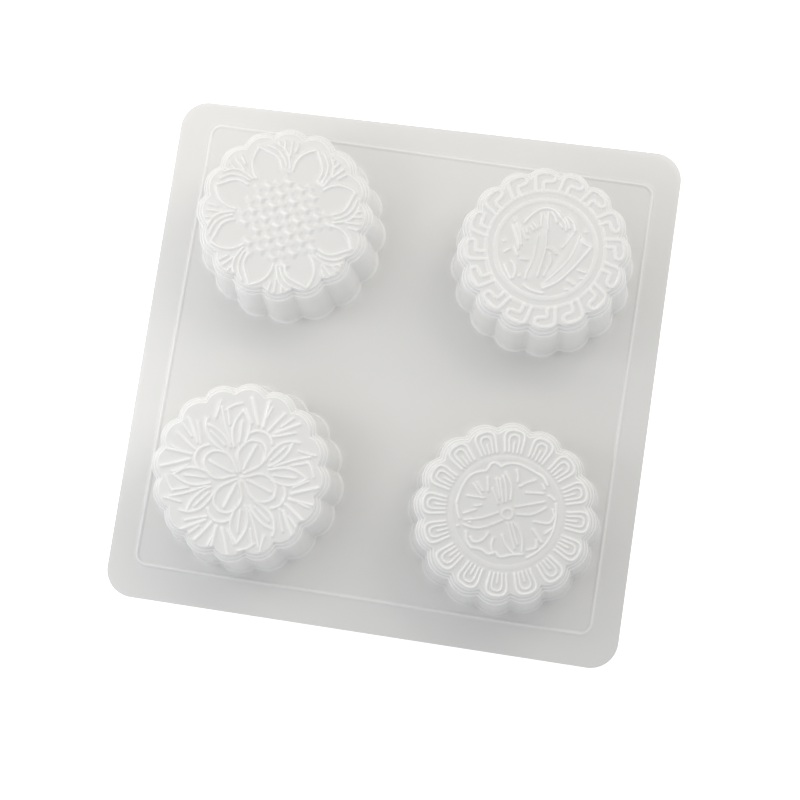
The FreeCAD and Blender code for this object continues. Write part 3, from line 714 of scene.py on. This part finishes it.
def close_shell():
    """Bridges the two open edges of the active piece's outer and inner skin."""
    bpy.ops.object.mode_set(mode="EDIT")
    bpy.ops.mesh.select_mode(type="EDGE")
    bpy.ops.mesh.select_all(action="DESELECT")
    bpy.ops.mesh.select_non_manifold()
    bpy.ops.mesh.bridge_edge_loops()
    bpy.ops.mesh.select_all(action="SELECT")
    bpy.ops.mesh.normals_make_consistent(inside=False)
    bpy.ops.object.mode_set(mode="OBJECT")


def finish_piece(piece, plastic, nodes, sharp=60):
    """Smooths and colours a piece, attaches it to the root body and hides the CAD parts that it
    stands for.
    """
    bpy.ops.object.select_all(action="DESELECT")
    piece.select_set(True)
    bpy.context.view_layer.objects.active = piece
    bpy.ops.object.transform_apply(location=True, rotation=True, scale=True)
    bpy.ops.object.shade_smooth_by_angle(angle=math.radians(sharp))
    piece.data.materials.clear()
    piece.data.materials.append(plastic)
    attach(piece, "root")
    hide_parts(*nodes)


# ---------------------------------------------------------------- the reliefs' lines

def upright(path, degrees):
    """Turns a path of (clockwise, outward) distances so that outward points along the angle."""
    path = np.array(path, dtype=float)
    c, s = math.cos(math.radians(degrees)), math.sin(math.radians(degrees))
    return np.stack([path[:, 1] * c + path[:, 0] * s, path[:, 1] * s - path[:, 0] * c], axis=1)


def ring(radius, steps=72):
    turn = np.arange(steps + 1) * 2 * math.pi / steps
    return np.stack([radius * np.cos(turn), radius * np.sin(turn)], axis=1)


def eased(path, rounds=2):
    """Rounds a path's bends by cutting its corners; its ends stay in place."""
    path = np.array(path, dtype=float)
    for _ in range(rounds):
        near = path[:-1] * 0.75 + path[1:] * 0.25
        far = path[:-1] * 0.25 + path[1:] * 0.75
        cut = np.stack([near, far], axis=1).reshape(-1, 2)
        path = np.concatenate([path[:1], cut[1:-1], path[-1:]])
    return path


def both_sides(path):
    """A path and its mirror image, joined where it ends."""
    return path + [(-across, outward) for across, outward in path[-2::-1]]


def round_line(path, half_width):
    """A stroke: its path, half width, flank width and rise."""
    return eased(path), half_width, half_width, 1.0


def band(path, half_width, rise):
    """A stroke with a flat top."""
    return path, half_width, BAND_FLANK, rise


def repeated(strokes, first, count):
    """Copies of upright strokes, evenly spaced around the pattern's middle."""
    result = []
    for number in range(count):
        degrees = first + 360.0 / count * number
        for path, half_width, flank, rise in strokes:
            result.append((upright(path, degrees), half_width, flank, rise))
    return result


def petal_ring_strokes(turn):
    petal = [
        round_line(both_sides(PETAL_ARCH), SLIM),
        round_line(both_sides(PETAL_INNER_ARCH), FINE),
        round_line(PETAL_VEIN, FINE),
    ]
    strokes = repeated(petal, turn, LOBES)
    strokes.append(band(ring(PETAL_RING), BROAD_BAND, FAINT_RING_RISE))
    strokes.append(round_line(ring(PETAL_HUB, 24) + PETAL_HUB_MIDDLE, SLIM))
    return strokes + [round_line(path, SLIM) for path in PETAL_RING_SPRAY]


def key_fret_strokes(turn):
    strokes = repeated([band(eased(KEY_HOOK, 1), NARROW_BAND, 1.0)], turn, LOBES)
    strokes.append(band(ring(KEY_OUTER_RING), NARROW_BAND, RING_RISE))
    strokes.append(band(ring(KEY_INNER_RING), BROAD_BAND, RING_RISE))
    return strokes + [round_line(path, SLIM) for path in KEY_FRET_SPRAY]


def blossom_strokes(turn):
    quarter = [round_line(path, STOUT) for path in BLOSSOM_STOUT]
    quarter += [round_line(path, SLIM) for path in BLOSSOM_SLIM]
    quarter += [round_line(path, BROAD) for path in BLOSSOM_BROAD]
    strokes = repeated(quarter, turn + BLOSSOM_TURN, BLOSSOM_QUARTERS)
    return strokes + [round_line(BLOSSOM_HUB, BROAD)]


def sunflower_strokes(turn):
    petal = [
        round_line(SUNFLOWER_PETAL, STOUT),
        round_line(SUNFLOWER_DOUBLE, SLIM),
        round_line(SUNFLOWER_SEPAL, SLIM),
    ]
    gap = [round_line(path, SLIM) for path in SUNFLOWER_GAP]
    petals = repeated(petal, turn + SUNFLOWER_PITCH / 2, SUNFLOWER_PETALS)
    return petals + repeated(gap, turn, SUNFLOWER_PETALS)


def sunflower_seeds(turn):
    """The seeds that clear the petals: middle, half width and rise of each."""
    lattice = math.radians(SEED_TURN)
    petals = [
        upright([(0.0, PETAL_MIDDLE_RADIUS)], turn + SUNFLOWER_PITCH * (number + 0.5))[0]
        for number in range(SUNFLOWER_PETALS)
    ]
    seeds = []
    for shift, half, rise in (
            (0.0, SEED_HALF, SEED_RISE), (0.5, SMALL_SEED_HALF, SMALL_SEED_RISE)):
        step = (np.arange(-SEED_ROWS, SEED_ROWS + 1) + shift) * SEED_PITCH
        along, across = [part.ravel() for part in np.meshgrid(step, step)]
        x = SEED_START[0] + along * math.cos(lattice) - across * math.sin(lattice)
        y = SEED_START[1] + along * math.sin(lattice) + across * math.cos(lattice)
        gaps = [np.hypot(x - petal_x, y - petal_y) for petal_x, petal_y in petals]
        kept = (np.hypot(x, y) < SEED_FIELD) & (np.min(gaps, axis=0) > SEED_CLEARANCE)
        seeds += [(seed_x, seed_y, half, rise) for seed_x, seed_y in zip(x[kept], y[kept])]
    return seeds


STROKES = {
    "sunflower": sunflower_strokes,
    "key_fret": key_fret_strokes,
    "blossom": blossom_strokes,
    "petal_ring": petal_ring_strokes,
}


# ---------------------------------------------------------------- the reliefs' heights

def smooth_climb(share):
    share = np.clip(share, 0.0, 1.0)
    return share * share * (3 - 2 * share)


def line_distance(x, y, path, reach):
    """The points within reach of a line, and how far each is from it."""
    path = np.array(path, dtype=float)
    low, high = path.min(axis=0) - reach, path.max(axis=0) + reach
    near = np.flatnonzero((x > low[0]) & (x < high[0]) & (y > low[1]) & (y < high[1]))
    distance = np.full(len(near), reach)
    for (start_x, start_y), (end_x, end_y) in zip(path[:-1], path[1:]):
        way_x, way_y = end_x - start_x, end_y - start_y
        out_x, out_y = x[near] - start_x, y[near] - start_y
        square = max(way_x ** 2 + way_y ** 2, 1e-9)
        along = np.clip((out_x * way_x + out_y * way_y) / square, 0, 1)
        distance = np.minimum(distance, np.hypot(out_x - along * way_x, out_y - along * way_y))
    return near, distance


def seed_heights(x, y, seed):
    """The points near a seed and how high each stands: four flanks that fall from a short ridge."""
    seed_x, seed_y, half, rise = seed
    cos_turn, sin_turn = math.cos(math.radians(SEED_TURN)), math.sin(math.radians(SEED_TURN))
    near = np.flatnonzero((np.abs(x - seed_x) < 2 * half) & (np.abs(y - seed_y) < 2 * half))
    along = (x[near] - seed_x) * cos_turn + (y[near] - seed_y) * sin_turn
    across = (y[near] - seed_y) * cos_turn - (x[near] - seed_x) * sin_turn
    beyond = np.maximum(np.abs(along) - SEED_RIDGE, 0)
    reach = (across ** 4 + beyond ** 4 + SEED_TIP ** 4) ** 0.25
    return near, rise * np.clip(1 - reach / half, 0, 1)


def raise_to(layer, near, values):
    layer[near] = np.maximum(layer[near], values)


def relief(cup, x, y):
    """Height and whitening of the crown's pattern at points measured from the cup's middle."""
    x = x - cup.pattern_middle[0]
    y = y - cup.pattern_middle[1]
    share = np.zeros_like(x)
    glow = np.zeros_like(x)
    slope = np.zeros_like(x)
    if cup.name == "key_fret":
        for path in KEY_FRET_BLADES:
            near, distance = line_distance(x, y, eased(path), BLADE)
            stands = smooth_climb(1 - distance / BLADE)
            raise_to(share, near, BLADE_RISE * stands)
            # a broad leaf is whitened towards its middle, partly painted highlight
            raise_to(glow, near, BLADE_WHITE * stands)
    for path, half_width, flank, rise in STROKES[cup.name](cup.turn):
        near, distance = line_distance(x, y, path, SLOPE_REACH)
        stands = smooth_climb((half_width - distance) / flank)
        raise_to(share, near, rise * stands)
        if flank < half_width:
            # painted highlights along both edges of a flat-topped band; its top is whitened less
            edge = 4 * BAND_EDGE_HIGHLIGHT * stands * (1 - stands)
            raise_to(glow, near, rise * np.maximum(edge, BAND_TOP_WHITE * stands))
        else:
            # painted highlight along a round line's crest, partly the sheet's milkiness over the
            # ridge
            raise_to(glow, near, stands)
            raise_to(slope, near, (1 - distance / SLOPE_REACH) ** 2)
    if cup.name == "sunflower":
        for seed in sunflower_seeds(cup.turn):
            near, stands = seed_heights(x, y, seed)
            raise_to(share, near, stands)
            # painted highlight along each seed's short ridge
            raise_to(glow, near, (stands / SEED_RISE) ** 3)
    glow = np.maximum(glow, cup.slope_white * slope)
    outer = smooth_climb(np.hypot(x, y) / OUTER_RADIUS)
    ridge = cup.middle_white + (cup.outer_white - cup.middle_white) * outer
    height = np.minimum(cup.line_rise * share + cup.slope_rise * slope, RELIEF_LIMIT)
    return height, cup.crown_white + (ridge - cup.crown_white) * glow


# ---------------------------------------------------------------- cups

def cup_middle(cup):
    side_x, side_y = cup.side
    return CUPS_MIDDLE[0] + side_x * CUP_PITCH / 2, CUPS_MIDDLE[1] + side_y * CUP_PITCH / 2


def foot_inset(cup):
    """How far the wall's foot lies outside the crown's edge."""
    return CROWN_INSET + cup.foot_radius - cup.rim_radius


def outer_profile(cup):
    """Crown edge, steps, drafted wall and foot, as (distance outside the crown's edge, level)."""
    corners = [(-CROWN_LIP, CUP_HEIGHT, 0)]
    for step in range(STEPS):
        edge = step * STEP_TREAD
        corners.append((edge, CUP_HEIGHT - step * STEP_DROP, EDGE_ROUND))
        corners.append((edge + RISER_LEAN, CUP_HEIGHT - (step + 1) * STEP_DROP, STEP_ROUND))
    foot = foot_inset(cup)
    corners += [
        (CROWN_INSET, CUP_HEIGHT - STEPS * STEP_DROP, EDGE_ROUND),
        (foot, FOOT_LEDGE + FLARE_LIFT, FOOT_ROUND),
        (foot + FLARE_REACH, SHEET, FLARE_ROUND),
        (foot + FOOT_FLARE, SHEET, 0),
    ]
    return subdivide(rounded_profile(corners, CUP_ROUND_STEPS))


def inner_profile(cup):
    """The hollow side of the same sheet, from the underside of the crown to the cup's mouth."""
    wall = WALL_SHARE * SHEET
    under = CUP_HEIGHT - SHEET
    corners = [(-CROWN_LIP - wall, under)]
    for step in range(STEPS):
        edge = step * STEP_TREAD - wall
        corners.append((edge, under - step * STEP_DROP))
        corners.append((edge + RISER_LEAN, under - (step + 1) * STEP_DROP))
    foot = foot_inset(cup)
    corners += [
        (CROWN_INSET - wall, under - STEPS * STEP_DROP),
        (foot - wall, FOOT_LEDGE - SHEET),
        (foot, SHEET / 2),
        (foot + FOOT_FLARE / 2, 0.0),
        (foot + FOOT_FLARE, 0.0),
    ]
    return subdivide(np.array(corners))


def profile_whitening(cup, profile):
    """Whitening along a cup's profile: treads as the crown, risers and the wall by their own,
    partly milkiness and partly painted highlight and glow, and painted light round the foot.
    """
    along = np.gradient(profile, axis=0)
    steep = np.abs(along[:, 1]) / np.linalg.norm(along, axis=1)
    tall = profile[:, 1] < CUP_HEIGHT - STEPS * STEP_DROP - WALL_START
    flat = cup.crown_white
    # risers carry painted highlight lines and the wall a painted glow of light through the sheet,
    # both partly the drawn sheet's milkiness
    white = flat + (np.where(tall, cup.wall_white, RISER_MILK_AND_HIGHLIGHT) - flat) * steep
    # painted light up the foot, lifting the shade where the wall meets the deck
    foot = np.clip(1 - (profile[:, 1] - SHEET) / FOOT_GLOW, 0, 1)
    return np.maximum(white, FOOT_PAINTED_FILL * foot)


def square_to_rings(x, y):
    """Ring share (0 to 1) and angle for points of the square from -1 to 1."""
    share = np.maximum(np.abs(x), np.abs(y))
    along_x = np.abs(x) >= np.abs(y)
    x_side = np.where(x < 0, math.pi, 0.0)
    y_side = np.where(y < 0, math.pi, 0.0)
    across = math.pi / 4 * y / np.where(along_x & (x != 0), x, 1.0) + x_side
    along = math.pi / 2 - math.pi / 4 * x / np.where(along_x | (y == 0), 1.0, y) + y_side
    return share, np.where(along_x, across, along)


def cup_skin(square, cup, profile, rings, depth):
    """Shapes a square grid as one side of a cup: the crown's rings first, then the profile's rows.

    The depth is how far this side lies below the sheet's outer face. Gives points and whitening.
    """
    middle_x, middle_y = cup_middle(cup)
    peak, turn = cup.rim_radius - CROWN_INSET, math.radians(cup.turn)
    share, angle = square_to_rings(square[:, 0], square[:, 1])
    number = np.rint(share * rings).astype(int)
    flat_rings = rings - (len(profile) - 1)
    row = np.maximum(number - flat_rings, 0)
    outline = lobed_radius(angle, peak) + profile[row, 0]
    inner_share = np.clip(number / flat_rings, 0, 1)
    round_radius = peak - LOBE_DEPTH / 2 + profile[0, 0]
    lobed = np.clip((inner_share - ROUND_SHARE) / (1 - ROUND_SHARE), 0, 1) ** 2
    radius = inner_share * (round_radius * (1 - lobed) + outline * lobed)
    x = radius * np.cos(angle + turn)
    y = radius * np.sin(angle + turn)
    level = profile[row, 1]
    height, whitening = relief(cup, x, y)
    kept = np.clip((level + depth - CUP_HEIGHT + STEP_DROP) / STEP_DROP, 0, 1)
    points = np.stack([middle_x + x, middle_y + y, level + height * kept], axis=1)
    edge_whitening = profile_whitening(cup, profile)[row]
    return points, np.maximum(whitening * (kept > PATTERN_SHARE), edge_whitening)


def make_cup(cup, plastic):
    """One cup from crown to foot, a closed sheet of even thickness."""
    piece = new_piece(cup.name + "_cup_skin", 2 * OUTER_RINGS, 2 * OUTER_RINGS)
    outer_count = len(piece.data.vertices)
    bpy.ops.object.mode_set(mode="EDIT")
    add_grid(2 * INNER_RINGS, 2 * INNER_RINGS)
    bpy.ops.object.mode_set(mode="OBJECT")
    square = read_points(piece.data)
    outer, outer_white = cup_skin(square[:outer_count], cup, outer_profile(cup), OUTER_RINGS, 0.0)
    inner, inner_white = cup_skin(square[outer_count:], cup, inner_profile(cup), INNER_RINGS, SHEET)
    write_points(piece.data, np.concatenate([outer, inner]))
    write_whitening(piece.data, np.concatenate([outer_white, inner_white]))
    close_shell()
    finish_piece(
        piece, plastic, [cup.name + "_crown", cup.name + "_shoulder", cup.name + "_wall"])


# ---------------------------------------------------------------- deck, bead and border

def deck_foot(cup, angle):
    """Where a ray from the cup's middle meets its foot, at which the deck begins."""
    middle_x, middle_y = cup_middle(cup)
    lobes = lobed_radius(angle - math.radians(cup.turn), cup.rim_radius - CROWN_INSET)
    radius = lobes + (foot_inset(cup) + FOOT_FLARE)
    return middle_x + radius * np.cos(angle), middle_y + radius * np.sin(angle)


def deck_edge(cup, angle):
    """Where a ray from the cup's middle leaves its quarter of the deck.

    Distances run from the cup's middle and count outwards, away from the tray's middle.
    """
    side_x, side_y = cup.side
    middle_x, middle_y = cup_middle(cup)
    way_x, way_y = np.cos(angle) * side_x, np.sin(angle) * side_y
    half = BEAD_SIDE / 2 - BEAD_HALF
    out_x = side_x * (BEAD_MIDDLE[0] - middle_x) + half
    out_y = side_y * (BEAD_MIDDLE[1] - middle_y) + half
    back = CUP_PITCH / 2
    reach_x = np.where(way_x > 0, out_x, -back) / np.where(np.abs(way_x) < 1e-9, 1e-9, way_x)
    reach_y = np.where(way_y > 0, out_y, -back) / np.where(np.abs(way_y) < 1e-9, 1e-9, way_y)
    reach = np.minimum(np.abs(reach_x), np.abs(reach_y))
    hit_x, hit_y = reach * way_x, reach * way_y
    # one point lands on each corner that two quarters share
    for corner_x, corner_y in ((out_x, -back), (-back, out_y)):
        gap = np.hypot(hit_x - corner_x, hit_y - corner_y)
        nearest = gap == gap.min()
        hit_x = np.where(nearest, corner_x, hit_x)
        hit_y = np.where(nearest, corner_y, hit_y)
    # the outermost corner follows the bead's round one
    corner_radius = BEAD_CORNER - BEAD_HALF
    arc_x, arc_y = out_x - corner_radius, out_y - corner_radius
    forward = way_x * arc_x + way_y * arc_y
    square = forward ** 2 - arc_x ** 2 - arc_y ** 2 + corner_radius ** 2
    arc_reach = forward + np.sqrt(np.maximum(square, 0.0))
    on_arc = (hit_x > arc_x) & (hit_y > arc_y)
    hit_x = np.where(on_arc, arc_reach * way_x, hit_x)
    hit_y = np.where(on_arc, arc_reach * way_y, hit_y)
    return middle_x + hit_x * side_x, middle_y + hit_y * side_y


def make_deck_quarter(cup):
    """A cup's quarter of the deck's upper face, from the lobed foot out to the quarter's edge."""
    piece = new_piece("deck_skin", DECK_COLUMNS, DECK_ROWS)
    column, row = grid_numbers(piece, DECK_COLUMNS, DECK_ROWS)
    angle = -column * 2 * math.pi / DECK_COLUMNS
    foot_x, foot_y = deck_foot(cup, angle)
    edge_x, edge_y = deck_edge(cup, angle)
    share = (row / DECK_ROWS) ** DECK_CROWDING
    x = foot_x + (edge_x - foot_x) * share
    y = foot_y + (edge_y - foot_y) * share
    write_points(piece.data, np.stack([x, y, np.full(len(share), SHEET)], axis=1))
    # painted light on the deck round each foot, lifting the shade in that corner
    reach = np.hypot(x - foot_x, y - foot_y)
    write_whitening(piece.data, FOOT_PAINTED_FILL * np.clip(1 - reach / FOOT_GLOW, 0, 1) ** 2)
    return piece


def make_deck(plastic):
    """The flat panel inside the bead, joined from four quarters and given its thickness."""
    quarters = [make_deck_quarter(cup) for cup in CUPS]
    bpy.ops.object.select_all(action="DESELECT")
    for quarter in quarters:
        quarter.select_set(True)
    bpy.context.view_layer.objects.active = quarters[0]
    bpy.ops.object.join()
    piece = bpy.context.object
    join_seams(DECK_SEAM)
    if piece.data.polygons[0].normal.z < 0:
        piece.data.flip_normals()
    solid = piece.modifiers.new("thickness", "SOLIDIFY")
    solid.thickness = SHEET * MM
    solid.offset = -1
    bpy.ops.object.modifier_apply(modifier=solid.name)
    finish_piece(piece, plastic, ["deck_panel"], sharp=30)


def bead_line(offset):
    """The bead's rounded square, moved outwards by the offset."""
    half = BEAD_SIDE / 2
    sides = ((-1, -1), (1, -1), (1, 1), (-1, 1))
    corners = [(BEAD_MIDDLE[0] + x * half, BEAD_MIDDLE[1] + y * half) for x, y in sides]
    return rounded_outline(corners, BEAD_CORNER, -offset)


def trim_line(inset):
    """The cut edge, moved inwards by the inset."""
    half_width, half_depth = TRIM_WIDTH / 2, TRIM_DEPTH / 2
    corners = [
        (LEFT_LEAN - half_width, -half_depth),
        (half_width, FRONT_RISE - half_depth),
        (half_width - RIGHT_LEAN, half_depth),
        (-half_width, half_depth - BACK_FALL),
    ]
    return rounded_outline(corners, TRIM_CORNER, inset)


def make_border(plastic):
    """The bead, hollow below, and the flat border outside it, softly rounded where it is cut."""
    rows, white = [], []

    def add_row(outline, level, whitening):
        rows.append(np.column_stack([outline, np.full(len(outline), level)]))
        white.append(whitening)

    # over the bead, out to the cut edge and round it, and back under the border and the bead
    for across in np.linspace(-1, 1, BEAD_ROWS):
        # painted highlight along the bead's crest
        raised = math.cos(math.pi / 2 * across) ** 2
        add_row(bead_line(across * BEAD_HALF), SHEET + BEAD_RISE * raised, BEAD_HIGHLIGHT * raised)
    inner, outer = bead_line(BEAD_SKIRT), trim_line(CUT_ROUND)
    for share in np.linspace(0, 1, BORDER_ROWS + 1):
        add_row(inner + (outer - inner) * share, SHEET, BORDER_WHITE)
    # painted highlight round the rounded cut edge, over and under it
    for step in range(1, CUT_STEPS + 1):
        turn = math.pi / 2 * step / CUT_STEPS
        inset, drop = CUT_ROUND * (1 - math.sin(turn)), CUT_ROUND * (1 - math.cos(turn))
        add_row(trim_line(inset), SHEET - drop, CUT_EDGE_HIGHLIGHT)
    for step in range(CUT_STEPS + 1):
        turn = math.pi / 2 * step / CUT_STEPS
        inset, level = CUT_ROUND * (1 - math.cos(turn)), CUT_ROUND * (1 - math.sin(turn))
        add_row(trim_line(inset), level, CUT_EDGE_HIGHLIGHT)
    hollow = rounded_profile([
        (BEAD_SKIRT, 0.0, 0),
        (HOLLOW_FOOT, 0.0, HOLLOW_FOOT_ROUND),
        (HOLLOW_TOP, BEAD_RISE * HOLLOW_RISE, HOLLOW_TOP_ROUND),
        (-HOLLOW_TOP, BEAD_RISE * HOLLOW_RISE, HOLLOW_TOP_ROUND),
        (-HOLLOW_FOOT, 0.0, HOLLOW_FOOT_ROUND),
        (-BEAD_HALF, 0.0, 0),
    ], HOLLOW_ROUND_STEPS)
    for offset, level in hollow:
        add_row(bead_line(offset), level, 0.0)
    add_row(bead_line(-BEAD_HALF), SHEET, 0.0)
    rows, white = np.array(rows), np.array(white)
    columns, row_count = rows.shape[1] - 1, rows.shape[0] - 1
    piece = new_piece("border_skin", columns, row_count)
    column, row = grid_numbers(piece, columns, row_count)
    write_points(piece.data, rows[row, column])
    write_whitening(piece.data, white[row])
    join_seams(BORDER_SEAM)
    finish_piece(piece, plastic, ["rim_flange", "border_bead"])


# ---------------------------------------------------------------- building

add_camera()
light_studio()
lay_floor()
milky_plastic = make_plastic()
make_border(milky_plastic)
make_deck(milky_plastic)
for tray_cup in CUPS:
    make_cup(tray_cup, milky_plastic)
